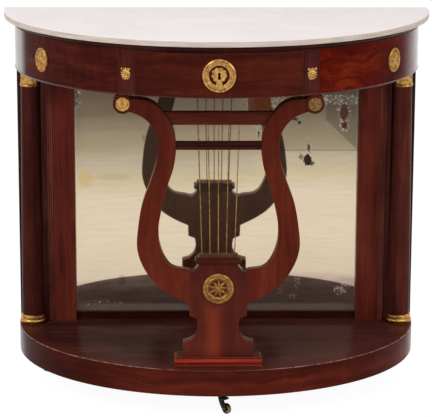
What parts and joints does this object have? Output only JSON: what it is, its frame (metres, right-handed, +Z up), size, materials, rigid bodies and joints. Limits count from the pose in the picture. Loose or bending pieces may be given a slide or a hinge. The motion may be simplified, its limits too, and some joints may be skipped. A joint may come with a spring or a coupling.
{
  "type": "pier table",
  "caption": "Demilune pier table: marble top, mahogany frieze with a bowed drawer, lyre support, columns, mirrored back and a plinth on casters.",
  "frame": {"origin": "on the floor, in the middle of the overall width and depth", "axes": "+X to the table's right seen from the front, +Y to the wall, +Z up"},
  "size_m": [0.96, 0.428, 0.846],
  "materials": {
    "marble": "polished white marble, slightly worn, with faint veins",
    "frieze_veneer": "flame mahogany veneer, french polished",
    "drawer_veneer": "flame mahogany veneer, french polished",
    "moulding_wood": "mahogany moulding, polished",
    "lyre_veneer": "mahogany veneer, polished",
    "column_veneer": "mahogany, polished",
    "panel_veneer": "mahogany veneer, polished",
    "reed_wood": "dark stained mahogany reeds",
    "plinth_top": "dark mahogany top, polished to a reflection",
    "plinth_veneer": "mahogany veneer, polished, worn arris",
    "carcass_wood": "old pine and oak, unpolished",
    "backboard_wood": "softwood board, stained dark",
    "gilt_bronze": "gilt bronze, matt and burnished",
    "string_brass": "drawn brass wire, toned",
    "lock_steel": "dull steel",
    "mirror_plate": "old silvered plate with losses",
    "caster_brass": "toned cast brass",
    "caster_axle": "dull steel"
  },
  "bodies": {
    "table": {"marble_top": "marble", "top_moulding": "moulding_wood", "top_frame_rails": "carcass_wood", "frieze_rear_rail": "carcass_wood", "drawer_bearers": "carcass_wood", "plinth_rear_rail": "carcass_wood", "plinth_blocks": "carcass_wood", "frieze_panel_left": "frieze_veneer", "frieze_panel_right": "frieze_veneer", "drawer_stile_left": "frieze_veneer", "drawer_stile_right": "frieze_veneer", "lion_mask_left": "gilt_bronze", "lion_mask_right": "gilt_bronze", "frieze_patera_left": "gilt_bronze", "frieze_patera_right": "gilt_bronze", "column_capital_left": "gilt_bronze", "column_capital_right": "gilt_bronze", "column_base_left": "gilt_bronze", "column_base_right": "gilt_bronze", "lyre_medallion": "gilt_bronze", "lyre_roundels": "gilt_bronze", "column_shaft_left": "column_veneer", "column_shaft_right": "column_veneer", "back_board": "backboard_wood", "back_panel_left": "panel_veneer", "back_panel_right": "panel_veneer", "mirror_top_rail": "panel_veneer", "mirror_bottom_rail": "panel_veneer", "reeded_strips": "reed_wood", "mirror_glass": "mirror_plate", "base_board_front": "plinth_top", "base_board_rear": "plinth_top", "plinth_apron": "plinth_veneer", "lyre_foot_plate": "plinth_veneer", "lyre_arm_left": "lyre_veneer", "lyre_arm_right": "lyre_veneer", "lyre_body": "lyre_veneer", "lyre_string_shelf": "lyre_veneer", "lyre_upper_bar": "lyre_veneer", "lyre_lower_bar": "lyre_veneer", "lyre_strings": "string_brass", "caster_plates": "caster_brass"},
    "drawer": {"drawer_front": "drawer_veneer", "drawer_side_left": "carcass_wood", "drawer_side_right": "carcass_wood", "drawer_back": "carcass_wood", "drawer_bottom": "carcass_wood", "drawer_beads": "drawer_veneer", "lock_case": "lock_steel", "escutcheon": "gilt_bronze"},
    "bolt": {"lock_bolt": "lock_steel"},
    "caster_front": {"caster_front_horn": "caster_brass", "caster_front_axle": "caster_axle"},
    "wheel_front": {"caster_front_wheel": "caster_brass"},
    "caster_rear_left": {"caster_rear_left_horn": "caster_brass", "caster_rear_left_axle": "caster_axle"},
    "wheel_rear_left": {"caster_rear_left_wheel": "caster_brass"},
    "caster_rear_right": {"caster_rear_right_horn": "caster_brass", "caster_rear_right_axle": "caster_axle"},
    "wheel_rear_right": {"caster_rear_right_wheel": "caster_brass"}
  },
  "joints": [
    {"name": "drawer_slide", "type": "slide", "parent": "table", "child": "drawer", "axis": [0, -1, 0], "range_m": [0, 0.22]},
    {"name": "bolt_throw", "type": "slide", "parent": "drawer", "child": "bolt", "axis": [0, 0, 1], "range_m": [0, 0.007]},
    {"name": "front_swivel", "type": "hinge", "parent": "table", "child": "caster_front", "pos_m": [0.01, -0.142, 0.045], "axis": [0, 0, 1], "continuous": true},
    {"name": "front_roll", "type": "hinge", "parent": "caster_front", "child": "wheel_front", "pos_m": [0.019, -0.15272, 0.012], "axis": [0.766, 0.6428, 0], "continuous": true},
    {"name": "rear_left_swivel", "type": "hinge", "parent": "table", "child": "caster_rear_left", "pos_m": [-0.38, 0.15, 0.045], "axis": [0, 0, 1], "continuous": true},
    {"name": "rear_left_roll", "type": "hinge", "parent": "caster_rear_left", "child": "wheel_rear_left", "pos_m": [-0.39269, 0.14408, 0.012], "axis": [0.4226, -0.9063, 0], "continuous": true},
    {"name": "rear_right_swivel", "type": "hinge", "parent": "table", "child": "caster_rear_right", "pos_m": [0.38, 0.15, 0.045], "axis": [0, 0, 1], "continuous": true},
    {"name": "rear_right_roll", "type": "hinge", "parent": "caster_rear_right", "child": "wheel_rear_right", "pos_m": [0.39147, 0.14197, 0.012], "axis": [0.5736, 0.8192, 0], "continuous": true}
  ]
}
